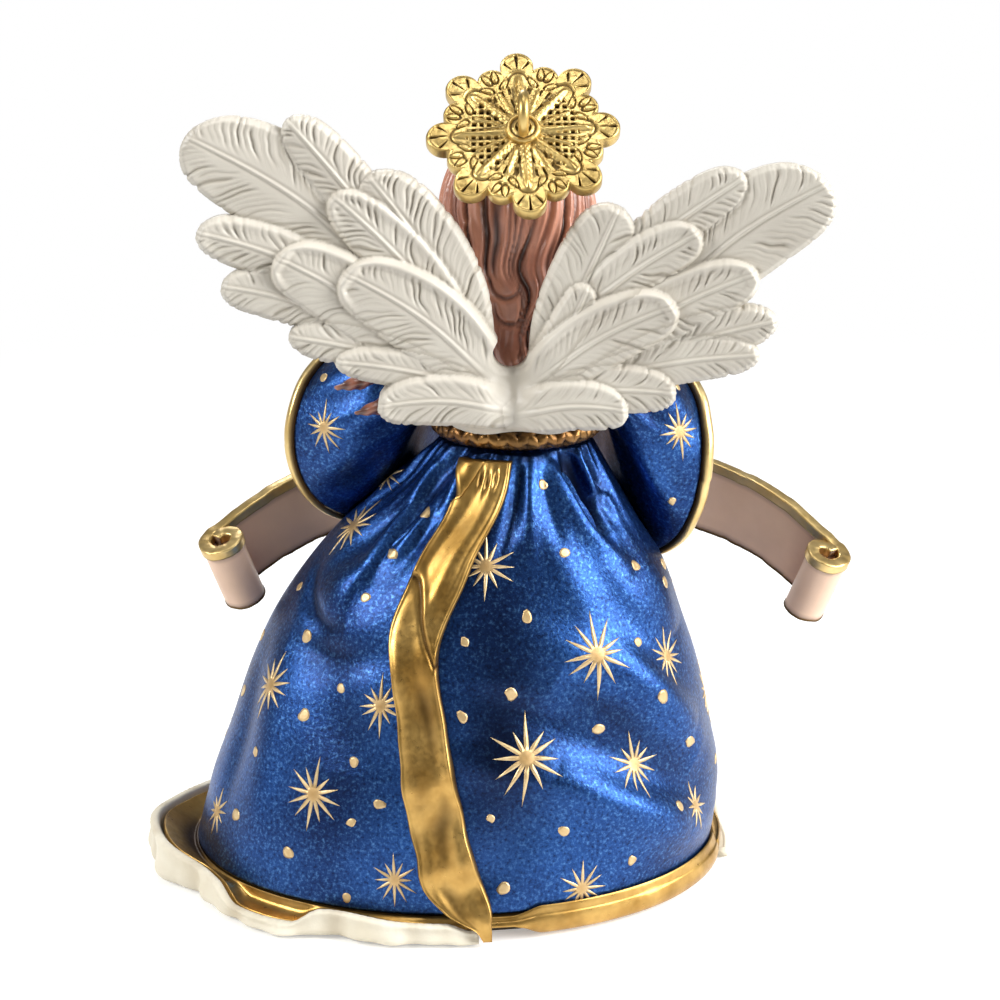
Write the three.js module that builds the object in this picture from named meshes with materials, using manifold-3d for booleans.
// Angel ornament: a moulded figure in a starred gown, with wings, a filigree halo and an open scroll.
// Millimetres, +Z up. The figure faces -Y, its left side is +X, and its wings are towards +Y.
// The origin lies on the flat underside of the base plate, straight below the figure's waist.
import * as THREE from "three";
import { mergeVertices } from "three/addons/utils/BufferGeometryUtils.js";
import Module from "manifold-3d";

// Fits and overruns
const clearance = 0.3;
const dowelClearance = 0.25;
const cutOverrun = 2;

// Gown skirt: an oval bell that leans to the figure's left as it widens
const skirtTop = 58.8;
const skirtBottom = 3.5;
const skirtWall = 1.6;
const skirtRoof = 2.2;
const waistHalfWidth = 9.6;
const waistHalfDepth = 8.6;
const hemHalfWidth = 34.6;
const hemHalfDepth = 26;
const hemShift = 8.4;
const foldDepth = 1.7;
const foldEndShare = 0.95;
const foldReachShare = 1.3;
const skirtClearance = 0.45;
const skirtColumns = 64;
const skirtRows = 12;
const skirtInnerRows = 3;

// Each row: height, sideways shift, growth in width and growth in depth, from the hem to the waist
const skirtSectionShares = [
  [0, 1, 1, 1],
  [0.15, 0.804, 0.97, 0.954],
  [0.29, 0.696, 0.882, 0.863],
  [0.455, 0.604, 0.775, 0.749],
  [0.58, 0.551, 0.661, 0.623],
  [0.705, 0.429, 0.516, 0.474],
  [0.795, 0.337, 0.365, 0.337],
  [0.9, 0.107, 0.16, 0.16],
  [1, 0, 0, 0],
];

// Each row: depth, low height, high height, angle at each in degrees round the skirt, width in degrees
const foldShares = [
  [-1, 0.81, 1.02, 142, 113, 9],
  [-0.6, 0.8, 1.02, 155, 128, 7],
  [0.45, 0.6, 1.0, 127, 103, 9],
  [0.5, 0.55, 0.95, 152, 120, 8],
  [-0.7, 0.66, 1.02, 24, 46, 8],
  [0.5, 0.6, 1.0, 36, 60, 8],
  [-0.5, 0.62, 0.98, 45, 68, 7],
  [-0.45, 0.3, 0.55, 62, 40, 12],
  [0.6, 0.2, 0.56, 165, 122, 13],
  [-0.6, 0.1, 0.44, 168, 108, 12],
  [0.65, 0.02, 0.32, 160, 104, 13],
  [-0.8, 0.3, 1.02, -70, -75, 12],
  [0.7, 0.1, 0.95, -98, -90, 13],
  [-0.8, 0.25, 1.02, -128, -112, 12],
  [0.6, 0.1, 0.9, -148, -135, 13],
  [-0.7, 0.2, 1.0, -170, -155, 11],
  [0.6, 0.1, 0.9, -44, -55, 13],
  [-0.7, 0.2, 1.0, -20, -35, 11],
  [0.5, 0.1, 0.8, 2, -15, 12],
];

// Hem trim: a gilt band under the skirt that opens into a gutter on the figure's left
const hemTrimLow = 0.3;
const hemTrimRaisedLow = 2;
const hemTrimProud = 0.8;
const hemTrimFloor = 0.8;
const hemFlareReach = 3.6;
const hemLipShare = 0.2;
const hemGutterShare = 0.5;
const hemKeelShare = 0.75;
const hemCoverFadeAngle = 7;

// Petticoat ruffle: a cream strip that runs round the hem, except where the trim meets the ground
const ruffleLow = 0.2;
const ruffleThickness = 1.2;
const ruffleRim = 0.5;
const hemRimLow = 2.6;
const hemRimRise = 3.4;
const ruffleStartColumn = -33;
const ruffleEndColumn = 17;
const ruffleStartAngle = (ruffleStartColumn * 360) / skirtColumns;
const ruffleEndAngle = (ruffleEndColumn * 360) / skirtColumns;
const ruffleTuckAngle = 14;
const ruffleTuckShare = 0.4;

// Each row: angle in degrees round the skirt, how far the hem flares out there, and how high its rim is
const hemFlareShares = [
  [-188, 0.1, 0.2],
  [-170, 0.22, 0.3],
  [-150, 0.5, 0.35],
  [-132, 0.3, 0.25],
  [-112, 0.6, 0.35],
  [-94, 0.32, 0.25],
  [-74, 0.62, 0.4],
  [-52, 0.34, 0.3],
  [-32, 0.3, 0.3],
  [-12, 0.55, 0.6],
  [6, 1, 1],
  [18, 0.9, 0.8],
  [30, 0.42, 0.45],
  [44, 0.6, 0.22],
  [56, 0.48, 0.16],
  [68, 0.12, 0.2],
  [80, 0.12, 0.05],
  [95, 0.02, 0],
  [172, 0.1, 0],
];

// Base plate
const basePlateThickness = 1.8;
const basePlateColumns = 48;

// Bodice, with the neck seat on top
const bodiceHeight = 17.3;
const bodiceBottom = skirtTop + clearance;
const bodiceTop = bodiceBottom + bodiceHeight;
const bodiceHalfWidth = 9.4;
const bodiceHalfDepth = 7.6;

// Each row: height, half width and half depth
const bodiceSectionShares = [
  [0, 0.9, 0.98],
  [0.3, 0.94, 0.98],
  [0.6, 1, 0.94],
  [0.82, 0.93, 0.82],
  [0.94, 0.72, 0.68],
  [1, 0.52, 0.56],
];

// Belt: a twisted rope round the waist
const beltRise = 1.8;
const beltHeight = bodiceBottom + beltRise;
const ropeLongRadius = 1.3;
const ropeShortRadius = 1;
const beltTwists = 13;
const beltColumns = 65;

// Collar: a rolled neckband
const collarDrop = 0.2;
const collarHeight = bodiceTop - collarDrop;
const collarHalfWidth = 6.3;
const collarHalfDepth = 5.4;
const collarRadius = 0.9;

// Sash ribbon on the back of the skirt
const sashThickness = 1;
const sashTipLift = 1.5;
const sashTop = 58.2;
const sashBottom = 3;
const sashTip = 1.1;
const sashRows = 16;
const sashColumns = 4;

// Each row: height from the tip to the belt, then the ribbon's left and right edges in degrees
const sashEdgeShares = [
  [0, 96.4, 98.2],
  [0.03, 94.4, 98.2],
  [0.064, 88.2, 97.8],
  [0.112, 82.8, 95.5],
  [0.191, 79.8, 91.8],
  [0.318, 74.8, 87.5],
  [0.423, 72, 84.2],
  [0.515, 68.8, 81],
  [0.589, 65.8, 78.8],
  [0.668, 62.2, 78.8],
  [0.751, 62.2, 81.5],
  [0.87, 60.8, 84.8],
  [0.94, 56.8, 86.8],
  [1, 52.5, 87.2],
];

// Sleeves: wide bells, their mouths turned outwards and forwards
const shoulderOut = bodiceHalfWidth + clearance;
const shoulderRise = 10.3;
const shoulderHeight = bodiceBottom + shoulderRise;
const shoulderHalfHeight = 5.6;
const shoulderHalfDepth = 5.4;
const sleeveWall = 1.1;
const sleeveCavityShare = 0.5;
const sleeveColumns = 22;
const sleeveRows = 5;
const sleeveInnerRows = 3;
const leftMouthOut = 19.8;
const leftMouthForward = 8.2;
const leftMouthDrop = 12;
const leftMouthHalfHeight = 12;
const leftMouthHalfDepth = 12;
const leftMouthCut = 3;
const rightMouthOut = 18.7;
const rightMouthForward = 8.6;
const rightMouthDrop = 16;
const rightMouthHalfHeight = 12.8;
const rightMouthHalfDepth = 11.6;
const rightMouthCut = 6;
const leftMouthTurnAngle = 42;
const rightMouthTurnAngle = 66;
const leftMouthTiltAngle = 2;
const rightMouthTiltAngle = 8;

// Each row: way along the sleeve, growth in height, growth in depth
const sleeveSectionShares = [
  [0, 0, 0],
  [0.2, 0.1, 0.12],
  [0.45, 0.42, 0.42],
  [0.7, 0.76, 0.74],
  [1, 1, 1],
];

// Sleeve trims: gilt rims on the mouths
const sleeveTrimDepth = 1.2;
const sleeveTrimWidth = 1.9;

// Undersleeves and hands
const wristOut = 15.6;
const wristForward = 20.6;
const wristDrop = 16.4;
const wristHeight = shoulderHeight - wristDrop;
const forearmRootRadius = 2.5;
const wristRadius = 1.9;
const handInset = 0.6;
const handReach = 3.8;
const handDrop = 2.4;
const handOut = wristOut - handInset;
const handForward = wristForward + handReach;
const handHeight = wristHeight - handDrop;
const handHalfWidth = 2.7;
const handHalfDepth = 3.3;
const handHalfHeight = 3.3;
const thumbRadius = 0.95;
const thumbReach = 2.6;

// Scroll: one sheet in a wide bow before the figure, its ends rolled backwards
const scrollShift = -1.4;
const scrollReach = 3.1;
const scrollForward = handForward + scrollReach;
const scrollHalfSpan = 40.5;
const scrollBow = 19;
const scrollDrop = 4;
const scrollHeight = handHeight - scrollDrop;
const scrollDroop = 10;
const scrollWidth = 10.4;
const scrollThickness = 1.1;
const scrollRollRadius = 2.8;
const scrollRollEndRadius = 1.35;
const scrollRollTurnAngle = 380;
const scrollEndTiltAngle = 16;
const scrollEndLeanAngle = 20;
const scrollSheetSteps = 26;
const scrollRollSteps = 14;

// Each row: way from the right end to the left end, way back, droop, and backward lean
const scrollPathShares = [
  [-1, 0.84, 1.06, 1],
  [-0.82, 0.6, 0.53, 0.62],
  [-0.6, 0.34, 0.24, 0.3],
  [-0.3, 0.09, 0.05, 0.06],
  [0, 0, 0, 0],
  [0.3, 0.1, 0.03, 0.06],
  [0.6, 0.42, 0.12, 0.3],
  [0.82, 0.78, 0.34, 0.62],
  [1, 1, 0.76, 1],
];

// Head and neck
const neckSeat = 0.6;
const neckBottom = bodiceTop + neckSeat;
const headRise = 10.6;
const headHeight = neckBottom + headRise;
const headForward = 1;
const headHalfWidth = 8.5;
const headHalfDepth = 8.9;
const headHalfHeight = 10.3;
const neckRadius = 3.3;
const noseHalfWidth = 1.1;
const noseHalfHeight = 1.5;
const noseReach = 0.9;

// Hair: a cap that ends in a tail at the back, and three locks that fall on the sleeves
const hairThickness = 1;
const faceHalfWidth = 6.6;
const faceHalfHeight = 9.2;
const faceDrop = 2.6;
const faceHeight = headHeight - faceDrop;
const faceBack = 3.4;
const tailLength = 17.3;
const tailTipDrop = 16.9;
const tailTip = headHeight - tailTipDrop;
const tailTop = tailTip + tailLength;
const tailHalfWidth = 8.2;
const tailHalfThickness = 1.4;
const tailBack = 8;

// Each row: height from the tip, half width, half thickness, way back
const tailSectionShares = [
  [0, 0.05, 0.3, 1],
  [0.12, 0.22, 0.75, 1.03],
  [0.32, 0.42, 1, 1.02],
  [0.55, 0.68, 1.05, 0.99],
  [0.8, 0.92, 1.1, 0.93],
  [1, 0.98, 1, 0.86],
];

const lockRadius = 1.25;
const lockTipRadius = 0.85;
const lockRootDrop = 4.1;
const lockRootOut = 8.2;
const lockRootBack = 1.8;
const innerLockRootDrop = 5.6;
const innerLockRootOut = 6.8;
const innerLockRootBack = 4.6;
const leftOuterLockOut = 22.4;
const leftOuterLockBack = 6.9;
const leftOuterLockDrop = 1.8;
const leftInnerLockOut = 20.1;
const leftInnerLockBack = 8.3;
const leftInnerLockDrop = 4.2;
const rightLockOut = 17.2;
const rightLockBack = 7.9;
const rightLockDrop = 4.8;

// Wings: one moulding of overlapping feathers on a swept-back surface
const wingSpan = 40;
const wingRootRise = 8.3;
const wingRootHeight = bodiceBottom + wingRootRise;
const wingStandOff = 5.6;
const wingBack = bodiceHalfDepth + wingStandOff;
const wingSweep = 5;
const featherThickness = 1.5;
const featherRidge = 0.5;
const featherLayerStep = 0.42;
const featherShoulderShare = 0.6;
const webThickness = 2.6;

// Each row: root and tip across and up, half width, layer, sideways bow
const featherShares = [
  [0.34, 0.32, 0.965, 0.83, 0.155, 0, 0.06],
  [0.33, 0.41, 0.675, 0.87, 0.085, 1, 0.02],
  [0.12, 0.12, 0.44, 0.7, 0.12, 2, 0.05],
  [0.14, 0.16, 0.545, 0.65, 0.095, 3, 0.04],
  [0.46, 0.32, 0.945, 0.55, 0.085, 1, 0.05],
  [0.44, 0.22, 0.88, 0.385, 0.08, 1, 0.05],
  [0.28, 0.14, 0.715, 0.47, 0.115, 3, 0.05],
  [0.06, 0.04, 0.515, 0.42, 0.125, 5, 0.06],
  [0.2, 0.08, 0.685, 0.225, 0.07, 2, 0.03],
  [0.06, 0.02, 0.545, 0.135, 0.076, 4, 0.04],
  [-0.02, -0.04, 0.425, -0.01, 0.085, 6, 0.08],
  [-0.4, 0.26, -0.905, 0.69, 0.15, 0, -0.06],
  [-0.28, 0.4, -0.665, 0.705, 0.08, 1, -0.02],
  [-0.08, 0.1, -0.295, 0.6, 0.11, 2, 0],
  [-0.18, 0.28, -0.535, 0.54, 0.085, 3, -0.03],
  [-0.04, 0.08, -0.21, 0.37, 0.065, 4, 0.05],
  [-0.01, 0.02, -0.465, 0.32, 0.105, 5, -0.06],
  [-0.14, 0.06, -0.705, 0.42, 0.1, 2, -0.05],
  [-0.2, 0.06, -0.77, 0.275, 0.08, 1, -0.03],
  [-0.12, 0.03, -0.72, 0.17, 0.075, 2, -0.04],
  [-0.06, 0.01, -0.475, 0.045, 0.08, 4, -0.05],
  [0.04, -0.05, -0.33, -0.03, 0.085, 6, -0.08],
];

// Each row: way along a feather, and its half width there
const featherProfileShares = [
  [0, 0.5],
  [0.25, 0.88],
  [0.52, 1],
  [0.78, 0.93],
  [0.93, 0.72],
  [1, 0.3],
];

// The web between the wings, as points across and up
const webShares = [
  [0.24, -0.07],
  [0.12, -0.12],
  [0, -0.1],
  [-0.12, -0.12],
  [-0.22, -0.07],
  [-0.16, 0.06],
  [-0.08, 0.2],
  [-0.035, 0.13],
  [0, 0.1],
  [0.035, 0.13],
  [0.08, 0.2],
  [0.17, 0.06],
];

// Wing pegs
const wingPegRadius = 1.2;
const wingPegEmbed = 2;
const wingPegTipEmbed = 1.2;
const upperWingPegRise = 1.6;
const lowerWingPegDrop = 2;

// Dowels in the neck and the shoulders
const neckDowelRadius = 1.5;
const neckDowelEmbed = 4;
const shoulderDowelRadius = 1.6;
const shoulderDowelEmbed = 2.2;

// Halo: a scalloped disc that stands off the back of the head on a post
const haloShift = -0.6;
const haloRise = 11.4;
const haloHeight = headHeight + haloRise;
const haloBack = 8;
const haloTiltAngle = 45;
const haloThickness = 1.6;
const haloLobeCount = 8;
const haloLobeRadius = 2.05;
const haloLobePitchRadius = 9.75;
const haloTurnAngle = 4.5;
const haloScallopRadius = 1.8;
const haloScallopPitchRadius = 8.3;
const haloCoreRadius = 9.4;
const haloOutlinePoints = 128;

// Halo hub, hanging eye and post
const hubRadius = 2.2;
const hubHeight = 1;
const hubRim = 0.5;
const hubFloor = 0.3;
const eyeRadius = 2.2;
const eyeWireRadius = 0.65;
const shankRadius = 0.6;
const shankEmbed = 1.6;
const postRadius = 1.6;
const postSides = 16;
const postEmbed = 1.6;

// Paints
const gownBlue = new THREE.MeshStandardMaterial({ color: 0x1d3f86, roughness: 0.35, metalness: 0.4 });
const gilt = new THREE.MeshStandardMaterial({ color: 0xb8924a, roughness: 0.35, metalness: 0.8 });
const haloBrass = new THREE.MeshStandardMaterial({ color: 0xd0a848, roughness: 0.3, metalness: 0.9 });
const cream = new THREE.MeshStandardMaterial({ color: 0xe6e0c8, roughness: 0.6, metalness: 0 });
const ivory = new THREE.MeshStandardMaterial({ color: 0xe4e2da, roughness: 0.45, metalness: 0 });
const chestnut = new THREE.MeshStandardMaterial({ color: 0x8e5446, roughness: 0.45, metalness: 0 });
const skin = new THREE.MeshStandardMaterial({ color: 0xe2b599, roughness: 0.5, metalness: 0 });
const parchment = new THREE.MeshStandardMaterial({ color: 0xac8a7a, roughness: 0.55, metalness: 0 });
const feltGrey = new THREE.MeshStandardMaterial({ color: 0x6e6a62, roughness: 0.9, metalness: 0 });
const wood = new THREE.MeshStandardMaterial({ color: 0xb99a6b, roughness: 0.8, metalness: 0 });

const wasm = await Module();
wasm.setup();

const radians = THREE.MathUtils.degToRad;
const group = new THREE.Group();

function addPiece(name, geometry, material, parent = group) {
  const mesh = new THREE.Mesh(geometry, material);
  mesh.name = name;
  parent.add(mesh);
  return mesh;
}

// Values between the rows of a table, on a smooth curve through them; the first column is the position.
function sampleTable(rows, position) {
  const last = rows.length - 1;
  const at = THREE.MathUtils.clamp(position, rows[0][0], rows[last][0]);
  let low = 0;
  while (low < last - 1 && rows[low + 1][0] < at) low += 1;
  const [a, b] = [rows[low], rows[low + 1]];
  const before = rows[Math.max(low - 1, 0)];
  const after = rows[Math.min(low + 2, last)];
  const span = b[0] - a[0];
  const t = (at - a[0]) / span;
  return a.slice(1).map((value, column) => {
    const next = b[column + 1];
    const startSlope = (next - before[column + 1]) / (b[0] - before[0]);
    const endSlope = (after[column + 1] - value) / (after[0] - a[0]);
    const blend = t * t * (3 - 2 * t);
    const startPull = t * (1 - t) * (1 - t) * span * startSlope;
    const endPull = t * t * (t - 1) * span * endSlope;
    return value + (next - value) * blend + startPull + endPull;
  });
}

// A closed surface from points and triangles, turned so that its faces point out.
function closedGeometry(points, triangles) {
  let volume = 0;
  const scratch = new THREE.Vector3();
  for (const [a, b, c] of triangles) volume += points[a].dot(scratch.crossVectors(points[b], points[c]));
  const faces = volume < 0 ? triangles.map(([a, b, c]) => [a, c, b]) : triangles;
  const geometry = new THREE.BufferGeometry().setFromPoints(points);
  geometry.setIndex(faces.flat());
  geometry.computeVertexNormals();
  return geometry;
}

// A skin over rings of points; it is capped at both ends, or joined end to end.
function loft(rings, endless = false) {
  const count = rings[0].length;
  const points = rings.flat();
  const triangles = [];
  const bands = endless ? rings.length : rings.length - 1;
  for (let ring = 0; ring < bands; ring += 1) {
    const here = ring * count;
    const there = ((ring + 1) % rings.length) * count;
    for (let i = 0; i < count; i += 1) {
      const next = (i + 1) % count;
      triangles.push([here + i, here + next, there + next], [here + i, there + next, there + i]);
    }
  }
  if (endless) return closedGeometry(points, triangles);
  for (const [ring, flip] of [[0, true], [rings.length - 1, false]]) {
    const centre = new THREE.Vector3();
    rings[ring].forEach((point) => centre.addScaledVector(point, 1 / count));
    const hub = points.push(centre) - 1;
    for (let i = 0; i < count; i += 1) {
      const a = ring * count + i;
      const b = ring * count + ((i + 1) % count);
      triangles.push(flip ? [hub, b, a] : [hub, a, b]);
    }
  }
  return closedGeometry(points, triangles);
}

function toSolid(geometry) {
  const bare = geometry.clone();
  bare.deleteAttribute("normal");
  bare.deleteAttribute("uv");
  const merged = mergeVertices(bare, 1e-5);
  return new wasm.Manifold(
    new wasm.Mesh({
      numProp: 3,
      vertProperties: merged.attributes.position.array,
      triVerts: new Uint32Array(merged.index.array),
    }),
  );
}

function toGeometry(solid) {
  const { vertProperties, triVerts } = solid.getMesh();
  const geometry = new THREE.BufferGeometry();
  geometry.setAttribute("position", new THREE.BufferAttribute(vertProperties, 3));
  geometry.setIndex(new THREE.BufferAttribute(triVerts, 1));
  geometry.computeVertexNormals();
  return geometry;
}

// The union of bodies that overlap, without any pocket closed inside it.
function join(...geometries) {
  const whole = geometries.map(toSolid).reduce((sum, next) => sum.add(next));
  return toGeometry(whole.decompose().reduce((best, next) => (next.volume() > best.volume() ? next : best)));
}

function cut(geometry, ...tools) {
  return toGeometry(tools.map(toSolid).reduce((whole, tool) => whole.subtract(tool), toSolid(geometry)));
}

// A ring of points on an ellipse that the two half axes span.
function ellipseRing(centre, across, up, count) {
  return Array.from({ length: count }, (_, i) => {
    const angle = (i / count) * 2 * Math.PI;
    return centre.clone().addScaledVector(across, Math.cos(angle)).addScaledVector(up, Math.sin(angle));
  });
}

// Two unit vectors square to a direction and to each other.
function squareAxes(direction) {
  const helper = Math.abs(direction.z) < 0.9 ? new THREE.Vector3(0, 0, 1) : new THREE.Vector3(1, 0, 0);
  const across = new THREE.Vector3().crossVectors(direction, helper).normalize();
  return [across, new THREE.Vector3().crossVectors(across, direction).normalize()];
}

// A round bar between two points.
function bar(start, end, radius, count = 12) {
  const [across, up] = squareAxes(end.clone().sub(start).normalize());
  across.multiplyScalar(radius);
  up.multiplyScalar(radius);
  return loft([start, end].map((centre) => ellipseRing(centre, across, up, count)));
}

function ellipsoid(centre, half, columns = 16, rows = 10) {
  const geometry = new THREE.SphereGeometry(1, columns, rows);
  geometry.scale(half.x, half.y, half.z);
  return geometry.translate(centre.x, centre.y, centre.z);
}

// A tapering tube along a curve.
function taperedTube(curve, radiusAt, steps, count) {
  // One reference direction for the whole tube keeps its rings from turning against each other.
  const [reference] = squareAxes(curve.getPoint(1).sub(curve.getPoint(0)).normalize());
  const rings = [];
  for (let i = 0; i <= steps; i += 1) {
    const tangent = curve.getTangent(i / steps);
    const up = new THREE.Vector3().crossVectors(reference, tangent).normalize();
    const across = new THREE.Vector3().crossVectors(tangent, up);
    const radius = radiusAt(i / steps);
    rings.push(
      ellipseRing(curve.getPoint(i / steps), across.multiplyScalar(radius), up.multiplyScalar(radius), count),
    );
  }
  return loft(rings);
}

// How far the folds lift or sink the skirt, at an angle in degrees and a share of its height.
function foldLift(angle, heightShare) {
  let lift = 0;
  for (const [depth, low, high, lowAngle, highAngle, width] of foldShares) {
    const along = (heightShare - low) / (high - low);
    if (along <= 0) continue;
    const ending = THREE.MathUtils.smoothstep(along, foldEndShare, foldReachShare);
    const fade = Math.sin(Math.min(along, 0.5) * Math.PI) * (1 - ending);
    let off = angle - (lowAngle + (highAngle - lowAngle) * along);
    off -= 360 * Math.round(off / 360);
    lift += depth * fade * Math.exp(-((off / width) ** 2));
  }
  return lift * foldDepth;
}

// A point of the skirt's outer face before it is offset. A draped face spans the hollows of the folds.
function skirtFace(angle, height, draped = false) {
  const heightShare = (height - skirtBottom) / (skirtTop - skirtBottom);
  const [shift, widthGrowth, depthGrowth] = sampleTable(skirtSectionShares, heightShare);
  const halfWidth = waistHalfWidth + (hemHalfWidth - waistHalfWidth) * widthGrowth;
  const halfDepth = waistHalfDepth + (hemHalfDepth - waistHalfDepth) * depthGrowth;
  const [cos, sin] = [Math.cos(radians(angle)), Math.sin(radians(angle))];
  const outward = new THREE.Vector3(cos / halfWidth, sin / halfDepth, 0).normalize();
  const point = new THREE.Vector3(hemShift * shift + halfWidth * cos, halfDepth * sin, height);
  const lift = foldLift(angle, heightShare);
  return point.addScaledVector(outward, draped ? Math.max(lift, 0) : lift);
}

// A point at a distance from the skirt's outer face, measured square to it.
function skirtPoint(angle, height, offset, draped = false) {
  const step = (skirtTop - skirtBottom) / 100;
  const point = skirtFace(angle, height, draped);
  if (offset === 0) return point;
  const round = skirtFace(angle + 1, height, draped).sub(skirtFace(angle - 1, height, draped));
  const upward = skirtFace(angle, height + step, draped).sub(skirtFace(angle, height - step, draped));
  return point.addScaledVector(round.cross(upward).normalize(), offset);
}

function skirtRing(height, offset, columns) {
  return Array.from({ length: columns }, (_, i) => skirtPoint((i * 360) / columns, height, offset));
}

function levels(from, to, count) {
  return Array.from({ length: count + 1 }, (_, i) => from + ((to - from) * i) / count);
}

function makeSkirt() {
  const flat = (ring, height) => ring.map((point) => point.setZ(height));
  const innerTop = skirtTop - skirtRoof;
  const inner = levels(innerTop, skirtBottom, skirtInnerRows).map((height) =>
    flat(skirtRing(height, -skirtWall, skirtColumns), height),
  );
  const outer = levels(skirtBottom, skirtTop, skirtRows).map((height) => skirtRing(height, 0, skirtColumns));
  return loft([...inner, ...outer]);
}

// Points of a hem section: radial offsets from the skirt's foot and heights, at one angle.
function hemSection(angle, profile) {
  const foot = skirtFace(angle, skirtBottom);
  const flat = new THREE.Vector3(
    Math.cos(radians(angle)) / hemHalfWidth,
    Math.sin(radians(angle)) / hemHalfDepth,
    0,
  ).normalize();
  return profile.map(([reach, height]) => foot.clone().addScaledVector(flat, reach).setZ(height));
}

// The hem at an angle: how far its edge reaches out, how high that edge stands, and the ruffle's cover.
function hemAt(angle) {
  const [first, last] = [hemFlareShares[0][0], hemFlareShares.at(-1)[0]];
  const turned = angle > last ? angle - 360 : angle;
  const [flare, rim] = sampleTable(hemFlareShares, Math.max(turned, first));
  const fromEnds = Math.min(turned - ruffleStartAngle, ruffleEndAngle - turned);
  return {
    flare,
    reach: hemTrimProud + hemFlareReach * flare,
    edge: hemRimLow + hemRimRise * rim,
    cover: THREE.MathUtils.smoothstep(fromEnds, -2 * hemCoverFadeAngle, -hemCoverFadeAngle),
  };
}

function makeHemTrim() {
  const inner = -skirtWall - clearance;
  const top = skirtBottom - clearance;
  const sections = levels(-180, 180 - 360 / skirtColumns, skirtColumns - 1).map((angle) => {
    const { flare, reach, edge, cover } = hemAt(angle);
    const low = THREE.MathUtils.lerp(hemTrimLow, hemTrimRaisedLow, cover);
    const floor = THREE.MathUtils.lerp(top, low + hemTrimFloor, Math.min(flare * 2, 1));
    return hemSection(angle, [
      [inner, low],
      [inner, top],
      [0, top],
      [reach * hemGutterShare, floor],
      [reach, edge],
      [reach + hemTrimFloor * hemLipShare, Math.max(edge - hemTrimFloor, low)],
      [reach * hemKeelShare, low],
    ]);
  });
  return loft(sections, true);
}

function makeRuffle() {
  const inner = -skirtWall - clearance;
  const floor = hemTrimRaisedLow - clearance;
  const columns = ruffleEndColumn - ruffleStartColumn;
  const sections = levels(ruffleStartAngle, ruffleEndAngle, columns).map((angle) => {
    const { reach, edge } = hemAt(angle);
    const emergence = THREE.MathUtils.smoothstep(angle - ruffleStartAngle, ruffleTuckAngle, 2 * ruffleTuckAngle);
    const inside = reach + hemTrimFloor * hemLipShare + clearance;
    const outside = inside + ruffleThickness * THREE.MathUtils.lerp(ruffleTuckShare, 1, emergence);
    const top = THREE.MathUtils.lerp(floor, edge + ruffleRim, emergence);
    const shelf = Math.max(Math.min(edge - hemTrimFloor - clearance, hemTrimRaisedLow), floor);
    return hemSection(angle, [
      [inner, ruffleLow],
      [inner, floor],
      [reach * hemKeelShare, floor],
      [inside, Math.min(shelf, top)],
      [inside, top],
      [outside, top],
      [outside, (top + ruffleLow) / 2],
      [inside, ruffleLow],
    ]);
  });
  return loft(sections);
}

function makeBasePlate() {
  const inset = -skirtWall - 2 * clearance;
  const rim = levels(0, 360 - 360 / basePlateColumns, basePlateColumns - 1).map(
    (angle) => hemSection(angle, [[inset, 0]])[0],
  );
  return loft([rim, rim.map((point) => point.clone().setZ(basePlateThickness))]);
}

function bodiceRing(heightShare, offset) {
  const [width, depth] = sampleTable(bodiceSectionShares, heightShare);
  const height = bodiceBottom + (bodiceTop - bodiceBottom) * heightShare + offset * heightShare;
  const across = new THREE.Vector3(bodiceHalfWidth * width + offset, 0, 0);
  const back = new THREE.Vector3(0, bodiceHalfDepth * depth + offset, 0);
  return ellipseRing(new THREE.Vector3(0, 0, height), across, back, 32);
}

function bodiceBody(offset) {
  return loft(levels(0, 1, 8).map((share) => bodiceRing(share, offset)));
}

// A band of twisted rope round an oval.
function ropeBand(halfWidth, halfDepth, height, longRadius, shortRadius, twists, columns, sides) {
  const sections = Array.from({ length: columns }, (_, i) => {
    const angle = (i / columns) * 2 * Math.PI;
    const centre = new THREE.Vector3(halfWidth * Math.cos(angle), halfDepth * Math.sin(angle), height);
    const outward = new THREE.Vector3(Math.cos(angle) / halfWidth, Math.sin(angle) / halfDepth, 0).normalize();
    const up = new THREE.Vector3(0, 0, 1);
    const turn = twists * angle * 0.5;
    const across = outward.clone().multiplyScalar(Math.cos(turn)).addScaledVector(up, Math.sin(turn));
    const along = up.clone().multiplyScalar(Math.cos(turn)).addScaledVector(outward, -Math.sin(turn));
    return ellipseRing(centre, across.multiplyScalar(longRadius), along.multiplyScalar(shortRadius), sides);
  });
  return loft(sections, true);
}

// The skirt as a full body, offset from its face.
function skirtBody(offset) {
  const rings = levels(skirtBottom, skirtTop, skirtRows).map((height) =>
    skirtRing(height, offset, skirtColumns).map((point) => point.setZ(height)),
  );
  const lid = rings.at(-1).map((point) => point.clone().setZ(skirtTop + offset));
  return loft([...rings, lid]);
}

function makeSash(spare = 0) {
  const face = (offsetAt) =>
    levels(0, 1, sashRows).map((share) => {
      const [left, right] = sampleTable(sashEdgeShares, share);
      const height = THREE.MathUtils.lerp(sashTip - spare, sashTop + spare, share);
      return levels(left - spare, right + spare, sashColumns).map((angle) => {
        const lift = sashTipLift * (1 - THREE.MathUtils.smoothstep(height, sashBottom, 3 * sashBottom));
        const foot = Math.max(height, skirtBottom);
        return skirtPoint(angle, foot, offsetAt + lift, true).setZ(height);
      });
    });
  const under = face(skirtClearance - spare);
  const over = face(skirtClearance + sashThickness + spare);
  return loft(under.map((row, i) => [...row, ...over[i].slice().reverse()]));
}

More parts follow.
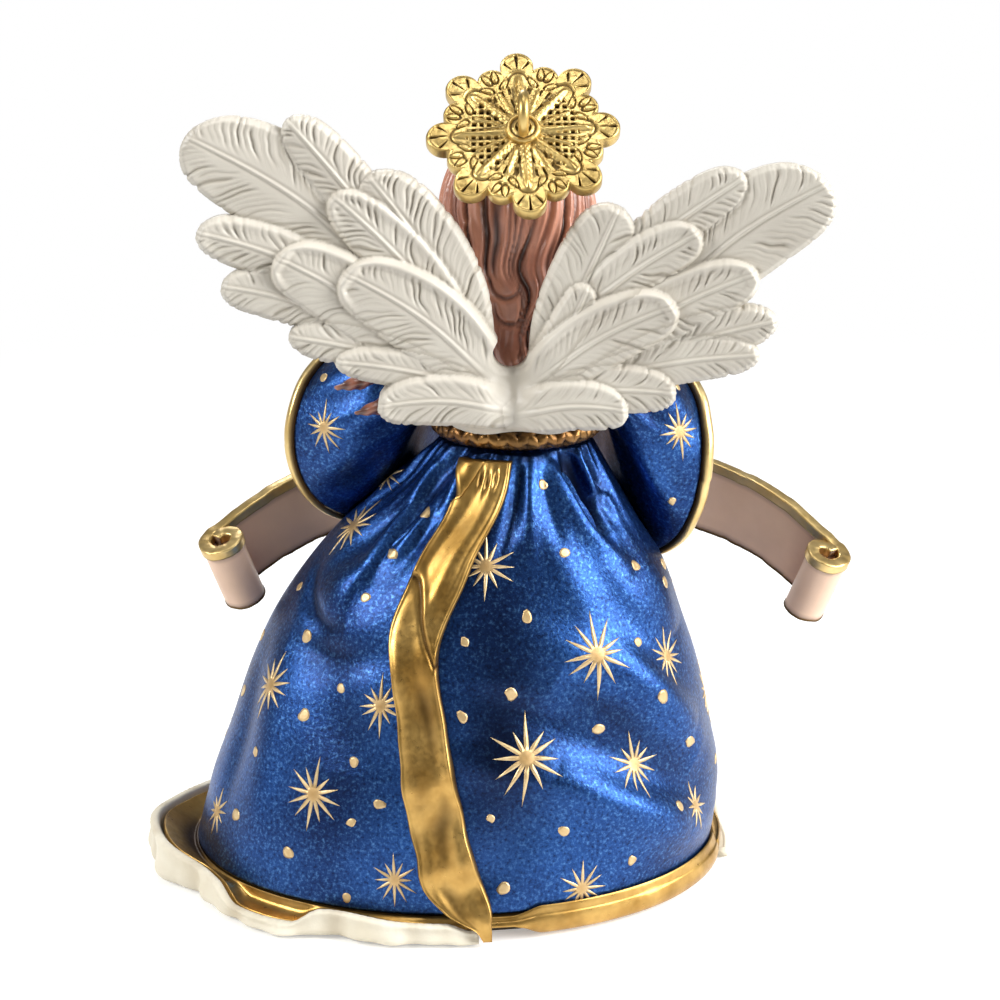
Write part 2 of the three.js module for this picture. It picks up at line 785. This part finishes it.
// The frame of a sleeve section: its centre and its half axes, some way along the sleeve.
function sleeveSection(sleeve, way, inset = 0) {
  const [heightGrowth, depthGrowth] = sampleTable(sleeveSectionShares, way);
  const out = THREE.MathUtils.lerp(shoulderOut, sleeve.mouthOut, way);
  const forward = sleeve.mouthForward * way ** 1.4;
  const height = THREE.MathUtils.lerp(shoulderHeight, sleeve.mouthHeight, way ** 1.3);
  const halfHeight = THREE.MathUtils.lerp(shoulderHalfHeight, sleeve.mouthHalfHeight, heightGrowth) - inset;
  const halfDepth = THREE.MathUtils.lerp(shoulderHalfDepth, sleeve.mouthHalfDepth, depthGrowth) - inset;
  const turn = radians(THREE.MathUtils.lerp(90, sleeve.mouthTurn, way));
  const tilt = radians(sleeve.mouthTilt * way);
  const back = new THREE.Vector3(sleeve.side * Math.cos(turn), Math.sin(turn), 0);
  const up = new THREE.Vector3(sleeve.side * Math.sin(tilt), 0, Math.cos(tilt));
  const axis = new THREE.Vector3(sleeve.side * Math.sin(turn), -Math.cos(turn), 0);
  return {
    centre: new THREE.Vector3(sleeve.side * out, -forward, height),
    back: back.multiplyScalar(halfDepth),
    up: up.multiplyScalar(halfHeight),
    axis,
  };
}

// A ring round the sleeve; towards the mouth its front edge is cut back.
function sleeveRing(sleeve, way, inset, along = 0) {
  const { centre, back, up, axis } = sleeveSection(sleeve, way, inset);
  return ellipseRing(centre.addScaledVector(axis, along), back, up, sleeveColumns).map((point, i) => {
    const frontness = (1 - Math.cos((i / sleeveColumns) * 2 * Math.PI)) / 2;
    return point.addScaledVector(axis, -sleeve.mouthCut * way * frontness ** 2);
  });
}

// A sleeve: its hollow stops a wall's thickness short of the skirt that the sleeve leans on.
function makeSleeve(sleeve, room) {
  const outer = loft([
    sleeveRing(sleeve, 1, 2 * sleeveWall),
    ...levels(1, 0, sleeveRows).map((way) => sleeveRing(sleeve, way, 0)),
  ]);
  const hollow = loft([
    ...levels(sleeveCavityShare, 1, sleeveInnerRows).map((way) => sleeveRing(sleeve, way, sleeveWall)),
    sleeveRing(sleeve, 1, sleeveWall, cutOverrun),
  ]);
  return cut(outer, cut(hollow, skirtBody(skirtClearance + sleeveWall)), ...room);
}

function makeSleeveTrim(sleeve) {
  const widen = (sleeveTrimWidth - sleeveWall) / 2;
  const rings = [
    sleeveRing(sleeve, 1, -widen, clearance),
    sleeveRing(sleeve, 1, -widen, clearance + sleeveTrimDepth),
    sleeveRing(sleeve, 1, sleeveWall + widen, clearance + sleeveTrimDepth),
    sleeveRing(sleeve, 1, sleeveWall + widen, clearance),
  ];
  return loft(rings, true);
}

function handCentre(side) {
  return new THREE.Vector3(scrollShift * 0.5 + side * handOut, -handForward, handHeight);
}

function handBall(side, spare = 0) {
  const half = new THREE.Vector3(handHalfWidth + spare, handHalfDepth + spare, handHalfHeight + spare);
  return ellipsoid(handCentre(side), half, 14, 10);
}

// An undersleeve: its root lies on the floor of the sleeve's hollow, and it ends against the hand.
function makeUndersleeve(sleeve) {
  const { centre, back, up, axis } = sleeveSection(sleeve, sleeveCavityShare);
  const root = centre.clone().addScaledVector(axis, clearance);
  const wrist = new THREE.Vector3(sleeve.side * wristOut, -wristForward, wristHeight);
  const hand = handCentre(sleeve.side);
  const rootRing = ellipseRing(
    root,
    back.setLength(forearmRootRadius),
    up.setLength(forearmRootRadius),
    14,
  );
  const [across, rise] = squareAxes(wrist.clone().sub(root).normalize());
  const ringAt = (point, radius) =>
    ellipseRing(point, across.clone().multiplyScalar(radius), rise.clone().multiplyScalar(radius), 14);
  const elbow = root.clone().lerp(wrist, 0.35);
  const arm = loft([
    alignRing(rootRing, ringAt(elbow, forearmRootRadius)),
    ringAt(elbow, forearmRootRadius),
    ringAt(wrist, wristRadius),
    ringAt(hand, wristRadius),
  ]);
  return cut(arm, handBall(sleeve.side, clearance), makeScroll(clearance));
}

// The same ring, started at the point that lies nearest to the other ring's first point.
function alignRing(ring, other) {
  const offsets = [...ring.keys()];
  const twistOf = (ordered) => ordered.reduce((sum, point, i) => sum + point.distanceTo(other[i]), 0);
  const orders = [ring, ring.slice().reverse()].flatMap((base) =>
    offsets.map((shift) => [...base.slice(shift), ...base.slice(0, shift)]),
  );
  return orders.reduce((best, order) => (twistOf(order) < twistOf(best) ? order : best));
}

// A point of the scroll's middle line and the direction up the sheet, some way from right to left.
function scrollAt(way) {
  const [backward, droop, lean] = sampleTable(scrollPathShares, way);
  const leanAngle = radians(scrollEndLeanAngle * lean);
  const tiltAngle = radians(scrollEndTiltAngle * way);
  return {
    point: new THREE.Vector3(
      scrollShift + scrollHalfSpan * way,
      scrollBow * backward - scrollForward,
      scrollHeight - scrollDroop * droop,
    ),
    up: new THREE.Vector3(Math.sin(tiltAngle), Math.sin(leanAngle), Math.cos(leanAngle)).normalize(),
  };
}

// The rolled end of the scroll: a spiral that leaves the sheet smoothly and turns backwards.
function scrollRoll(side) {
  const { point: end, up } = scrollAt(side);
  const direction = end.clone().sub(scrollAt(side * 0.98).point);
  direction.addScaledVector(up, -direction.dot(up)).normalize();
  const inward = new THREE.Vector3().crossVectors(up, direction).multiplyScalar(side);
  const core = end.clone().addScaledVector(inward, scrollRollRadius);
  return levels(1 / scrollRollSteps, 1, scrollRollSteps - 1).map((share) => {
    const radius = THREE.MathUtils.lerp(scrollRollRadius, scrollRollEndRadius, share);
    const angle = radians(share * scrollRollTurnAngle);
    const spoke = inward.clone().multiplyScalar(-Math.cos(angle)).addScaledVector(direction, Math.sin(angle));
    return { point: core.clone().addScaledVector(spoke, radius), normal: spoke.negate(), up };
  });
}

function scrollStations() {
  const sheet = levels(-1, 1, scrollSheetSteps).map((way) => {
    const { point, up } = scrollAt(way);
    const ahead = scrollAt(Math.min(way + 0.01, 1)).point.sub(scrollAt(Math.max(way - 0.01, -1)).point);
    return { point, normal: new THREE.Vector3().crossVectors(up, ahead).normalize(), up };
  });
  return [...scrollRoll(-1).reverse(), ...sheet, ...scrollRoll(1)];
}

function makeScroll(spare = 0) {
  const halfThickness = scrollThickness / 2 + spare;
  const halfWidth = scrollWidth / 2 + spare;
  return loft(
    scrollStations().map(({ point, normal, up }) => {
      const corner = (out, rise) =>
        point.clone().addScaledVector(normal, out * halfThickness).addScaledVector(up, rise * halfWidth);
      return [corner(-1, -1), corner(1, -1), corner(1, 1), corner(-1, 1)];
    }),
  );
}

function makeHand(side) {
  const centre = handCentre(side);
  const thumbRoot = centre.clone().add(new THREE.Vector3(-side * handHalfWidth * 0.5, 0, handHalfHeight * 0.3));
  const thumbTip = thumbRoot.clone().add(new THREE.Vector3(-side * thumbReach, 0, thumbReach * 0.5));
  return cut(join(handBall(side), bar(thumbRoot, thumbTip, thumbRadius, 8)), makeScroll(clearance));
}

const headCentre = new THREE.Vector3(0, -headForward, headHeight);

function headBall(spare) {
  const half = new THREE.Vector3(headHalfWidth + spare, headHalfDepth + spare, headHalfHeight + spare);
  return ellipsoid(headCentre, half, 20, 12);
}

function makeHead() {
  const neck = bar(new THREE.Vector3(0, 0, neckBottom), new THREE.Vector3(0, 0, headHeight), neckRadius, 18);
  const nose = ellipsoid(
    new THREE.Vector3(0, -headForward - headHalfDepth, headHeight - noseHalfHeight),
    new THREE.Vector3(noseHalfWidth, noseReach, noseHalfHeight),
    8,
    6,
  );
  return join(headBall(0), neck, nose);
}

function makeHairCap() {
  const window = bar(
    new THREE.Vector3(0, -headForward - headHalfDepth - cutOverrun * 2, 0),
    new THREE.Vector3(0, -faceBack, 0),
    1,
    24,
  );
  window.scale(faceHalfWidth, 1, faceHalfHeight);
  window.translate(0, 0, faceHeight);
  const rings = levels(0, 1, 7).map((share) => {
    const [width, thickness, back] = sampleTable(tailSectionShares, share);
    const centre = new THREE.Vector3(0, tailBack * back, tailTip + (tailTop - tailTip) * share);
    const across = new THREE.Vector3(tailHalfWidth * width, 0, 0);
    return ellipseRing(centre, across, new THREE.Vector3(0, tailHalfThickness * thickness, 0), 14);
  });
  const tail = loft(rings);
  const neckRoom = bar(
    new THREE.Vector3(0, 0, bodiceTop - cutOverrun),
    new THREE.Vector3(0, 0, headHeight),
    neckRadius + clearance,
    18,
  );
  const hair = join(headBall(hairThickness + clearance), tail);
  return cut(hair, headBall(clearance), neckRoom, window, bodiceBody(clearance));
}

function makeLock(root, end) {
  const sag = (root.z - end.z) * 0.2;
  const hang = (way, share) => root.clone().lerp(end, way).add(new THREE.Vector3(0, 0, -sag * share));
  const curve = new THREE.CatmullRomCurve3([root, hang(0.3, 0.7), hang(0.65, 1), end]);
  const swell = (way) => THREE.MathUtils.lerp(lockRadius, lockTipRadius, way ** 2.2);
  return cut(taperedTube(curve, swell, 7, 8), headBall(hairThickness + 2 * clearance));
}

// A point of the wings' middle surface, in shares of the wing span, lifted off it by a height.
function wingPoint(across, up, lift) {
  const back = wingBack + wingSweep * Math.abs(across) ** 1.5 + lift;
  return new THREE.Vector3(across * wingSpan, back, wingRootHeight + up * wingSpan);
}

// A feather: its back rises to a ridge, its front lies on the wings' common front face.
function makeFeather([rootAcross, rootUp, tipAcross, tipUp, halfWidth, layer, bow]) {
  const root = new THREE.Vector2(rootAcross, rootUp);
  const reach = new THREE.Vector2(tipAcross, tipUp).sub(root);
  const sideways = new THREE.Vector2(-reach.y, reach.x).normalize();
  const rise = layer * featherLayerStep;
  const half = featherThickness / 2;
  const rings = featherProfileShares.map(([way, width]) => {
    const middle = root
      .clone()
      .addScaledVector(reach, way)
      .addScaledVector(sideways, bow * Math.sin(way * Math.PI) * reach.length());
    const edge = sideways.clone().multiplyScalar(halfWidth * width);
    const at = (share, lift) => wingPoint(middle.x + edge.x * share, middle.y + edge.y * share, lift);
    const shoulder = rise + half * featherShoulderShare;
    const ridge = rise + half + featherRidge * width;
    return [at(-1, -half), at(-1, shoulder), at(0, ridge), at(1, shoulder), at(1, -half)];
  });
  return loft(rings);
}

function makeWeb() {
  const rings = [-0.5, 0.5].map((side) =>
    webShares.map(([across, up]) => wingPoint(across, up, side * webThickness)),
  );
  return loft(rings);
}

function wingPegEnds(height) {
  const heightShare = (height - bodiceBottom) / (bodiceTop - bodiceBottom);
  const [, depth] = sampleTable(bodiceSectionShares, heightShare);
  const start = bodiceHalfDepth * depth - wingPegEmbed;
  const end = wingBack - webThickness / 2 + wingPegTipEmbed;
  return [new THREE.Vector3(0, start, height), new THREE.Vector3(0, end, height)];
}

// A dowel and the socket that takes it: the same bar, longer and wider by the clearance.
function dowel([start, end], radius) {
  return bar(start, end, radius);
}

function socket([start, end], radius, count) {
  const reach = end.clone().sub(start).setLength(clearance);
  return bar(start.clone().sub(reach), end.clone().add(reach), radius + dowelClearance, count);
}

const wingPegs = [
  ["wing_peg_upper", wingPegEnds(wingRootHeight + upperWingPegRise)],
  ["wing_peg_lower", wingPegEnds(wingRootHeight - lowerWingPegDrop)],
];
const neckDowelEnds = [
  new THREE.Vector3(0, 0, bodiceTop - neckDowelEmbed),
  new THREE.Vector3(0, 0, neckBottom + neckDowelEmbed),
];
const shoulderDowelEnds = (side) => [
  new THREE.Vector3(side * (shoulderOut - clearance - shoulderDowelEmbed * 1.3), 0, shoulderHeight),
  new THREE.Vector3(side * (shoulderOut + shoulderDowelEmbed), 0, shoulderHeight),
];

// Skirt and hem
addPiece("gown_skirt", makeSkirt(), gownBlue);
const skirtRoom = skirtBody(skirtClearance);
const sashRoom = makeSash(clearance);
addPiece("hem_trim", cut(makeHemTrim(), sashRoom), gilt);
addPiece("petticoat_ruffle", cut(makeRuffle(), sashRoom), cream);
addPiece("base_plate", makeBasePlate(), feltGrey);
addPiece("sash_ribbon", cut(makeSash(), skirtRoom), gilt);

// Bodice, belt and collar
const bodice = cut(
  bodiceBody(0),
  ...wingPegs.map(([, ends]) => socket(ends, wingPegRadius)),
  socket(neckDowelEnds, neckDowelRadius),
  socket(shoulderDowelEnds(1), shoulderDowelRadius),
  socket(shoulderDowelEnds(-1), shoulderDowelRadius),
);
addPiece("bodice", bodice, gownBlue);
const beltOut = ropeLongRadius + clearance;
const beltHalfWidth = bodiceHalfWidth * bodiceSectionShares[0][1] + beltOut;
const beltHalfDepth = bodiceHalfDepth * bodiceSectionShares[0][2] + beltOut;
const belt = ropeBand(
  beltHalfWidth,
  beltHalfDepth,
  beltHeight,
  ropeLongRadius,
  ropeShortRadius,
  beltTwists,
  beltColumns,
  5,
);
const beltRoom = ropeBand(
  beltHalfWidth,
  beltHalfDepth,
  beltHeight,
  ropeLongRadius + clearance,
  ropeLongRadius + clearance,
  0,
  beltColumns,
  8,
);
addPiece("belt", belt, gilt);
const collar = ropeBand(collarHalfWidth, collarHalfDepth, collarHeight, collarRadius, collarRadius, 0, 24, 6);
addPiece("collar", cut(collar, bodiceBody(clearance)), gilt);

// Arms
const sleeves = [
  {
    name: "left",
    side: 1,
    mouthOut: leftMouthOut,
    mouthForward: leftMouthForward,
    mouthHeight: shoulderHeight - leftMouthDrop,
    mouthHalfHeight: leftMouthHalfHeight,
    mouthHalfDepth: leftMouthHalfDepth,
    mouthTurn: leftMouthTurnAngle,
    mouthTilt: leftMouthTiltAngle,
    mouthCut: leftMouthCut,
  },
  {
    name: "right",
    side: -1,
    mouthOut: rightMouthOut,
    mouthForward: rightMouthForward,
    mouthHeight: shoulderHeight - rightMouthDrop,
    mouthHalfHeight: rightMouthHalfHeight,
    mouthHalfDepth: rightMouthHalfDepth,
    mouthTurn: rightMouthTurnAngle,
    mouthTilt: rightMouthTiltAngle,
    mouthCut: rightMouthCut,
  },
];
for (const sleeve of sleeves) {
  const ends = shoulderDowelEnds(sleeve.side);
  const body = makeSleeve(sleeve, [socket(ends, shoulderDowelRadius), skirtRoom, beltRoom]);
  addPiece(`sleeve_${sleeve.name}`, body, gownBlue);
  addPiece(`sleeve_trim_${sleeve.name}`, cut(makeSleeveTrim(sleeve), skirtRoom), gilt);
  addPiece(`undersleeve_${sleeve.name}`, makeUndersleeve(sleeve), cream);
  addPiece(`hand_${sleeve.name}`, makeHand(sleeve.side), skin);
  addPiece(`shoulder_dowel_${sleeve.name}`, dowel(ends, shoulderDowelRadius), wood);
}
addPiece("scroll", makeScroll(), parchment);

// Wings
const wings = cut(
  join(makeWeb(), ...featherShares.map(makeFeather)),
  ...wingPegs.map(([, ends]) => socket(ends, wingPegRadius)),
);
addPiece("wings", wings, ivory);
for (const [name, ends] of wingPegs) addPiece(name, dowel(ends, wingPegRadius), ivory);

// Halo, in a frame whose Z axis is the disc's own
const halo = new THREE.Group();
halo.position.set(haloShift, haloBack, haloHeight);
halo.rotation.x = -radians(haloTiltAngle);
group.add(halo);

function haloOutline() {
  const circles = [];
  for (let i = 0; i < haloLobeCount; i += 1) {
    const angle = radians(haloTurnAngle) + (i / haloLobeCount) * 2 * Math.PI;
    const between = angle + Math.PI / haloLobeCount;
    circles.push([angle, haloLobePitchRadius, haloLobeRadius]);
    circles.push([between, haloScallopPitchRadius, haloScallopRadius]);
  }
  const points = [];
  for (let i = 0; i < haloOutlinePoints; i += 1) {
    const angle = (i / haloOutlinePoints) * 2 * Math.PI;
    let radius = haloCoreRadius;
    for (const [centreAngle, pitch, circle] of circles) {
      const along = pitch * Math.cos(angle - centreAngle);
      const square = circle ** 2 - (pitch * Math.sin(angle - centreAngle)) ** 2;
      if (square > 0 && along > 0) radius = Math.max(radius, along + Math.sqrt(square));
    }
    points.push(new THREE.Vector2(radius * Math.cos(angle), radius * Math.sin(angle)));
  }
  return points;
}

function lathe(profile, segments) {
  const points = [...profile, profile[0]].map(([radius, height]) => new THREE.Vector2(radius, height));
  return new THREE.LatheGeometry(points, segments).rotateX(Math.PI / 2);
}

const haloShape = new THREE.Shape(haloOutline());
const shankHole = new THREE.Path().absarc(0, 0, shankRadius + dowelClearance, 0, 2 * Math.PI, true);
haloShape.holes.push(shankHole);
const disc = new THREE.ExtrudeGeometry(haloShape, {
  depth: haloThickness,
  bevelEnabled: false,
  curveSegments: 6,
});
disc.translate(0, 0, -haloThickness / 2);
addPiece("halo_disc", disc, haloBrass, halo);

const hubFoot = haloThickness / 2 + clearance;
const hub = lathe(
  [
    [shankRadius + dowelClearance, hubFoot],
    [hubRadius, hubFoot],
    [hubRadius, hubFoot + hubHeight],
    [hubRadius - hubRim, hubFoot + hubHeight],
    [hubRadius - hubRim, hubFoot + hubFloor],
    [shankRadius + dowelClearance, hubFoot + hubFloor],
  ],
  20,
);
addPiece("halo_hub", hub, haloBrass, halo);

const shankFoot = -haloThickness / 2 - clearance - shankEmbed;
const eyeRing = new THREE.TorusGeometry(eyeRadius, eyeWireRadius, 8, 24);
eyeRing.rotateY(Math.PI / 2);
const eyeCentre = hubFoot + hubFloor + clearance + eyeWireRadius + eyeRadius;
eyeRing.translate(0, 0, eyeCentre);
const shank = bar(
  new THREE.Vector3(0, 0, shankFoot),
  new THREE.Vector3(0, 0, eyeCentre - eyeRadius),
  shankRadius,
  10,
);
addPiece("hanging_eye", join(eyeRing, shank), haloBrass, halo);

// The post runs from the disc down into the head, square to the disc.
const postTop = -haloThickness / 2 - clearance;
const haloAxis = new THREE.Vector3(0, Math.sin(radians(haloTiltAngle)), Math.cos(radians(haloTiltAngle)));
const haloCentre = new THREE.Vector3(haloShift, haloBack, haloHeight);
const toHead = haloCentre.clone().sub(headCentre);
const scaledAxis = haloAxis.clone().divide(new THREE.Vector3(headHalfWidth, headHalfDepth, headHalfHeight));
const scaledOffset = toHead.clone().divide(new THREE.Vector3(headHalfWidth, headHalfDepth, headHalfHeight));
const quadratic = scaledAxis.lengthSq();
const linear = scaledAxis.dot(scaledOffset);
const constant = scaledOffset.lengthSq() - 1;
const headDepth = (-linear + Math.sqrt(linear ** 2 - quadratic * constant)) / quadratic;
const postFoot = headDepth - postEmbed;
const post = lathe(
  [
    [0, postFoot],
    [postRadius, postFoot],
    [postRadius, postTop],
    [shankRadius + dowelClearance, postTop],
    [shankRadius + dowelClearance, shankFoot - clearance],
    [0, shankFoot - clearance],
  ],
  postSides,
);
addPiece("halo_post", post, haloBrass, halo);

// Head and hair, with the post's socket
const postEnds = [
  haloCentre.clone().addScaledVector(haloAxis, postFoot),
  haloCentre.clone().addScaledVector(haloAxis, postTop),
];
const postSocket = socket(postEnds, postRadius, postSides);
addPiece("head", cut(makeHead(), postSocket, socket(neckDowelEnds, neckDowelRadius)), skin);
addPiece("hair_cap", cut(makeHairCap(), postSocket), chestnut);
addPiece("neck_dowel", dowel(neckDowelEnds, neckDowelRadius), wood);
const outerRoot = new THREE.Vector3(lockRootOut, lockRootBack, headHeight - lockRootDrop);
const innerRoot = new THREE.Vector3(innerLockRootOut, innerLockRootBack, headHeight - innerLockRootDrop);
const rightRoot = innerRoot.clone().setX(-innerLockRootOut);
const tipAt = (out, back, drop) => new THREE.Vector3(out, back, shoulderHeight - drop);
const locks = [
  ["hair_lock_left_outer", outerRoot, tipAt(leftOuterLockOut, leftOuterLockBack, leftOuterLockDrop)],
  ["hair_lock_left_inner", innerRoot, tipAt(leftInnerLockOut, leftInnerLockBack, leftInnerLockDrop)],
  ["hair_lock_right", rightRoot, tipAt(-rightLockOut, rightLockBack, rightLockDrop)],
];
for (const [name, root, tip] of locks) addPiece(name, makeLock(root, tip), chestnut);

export default group;
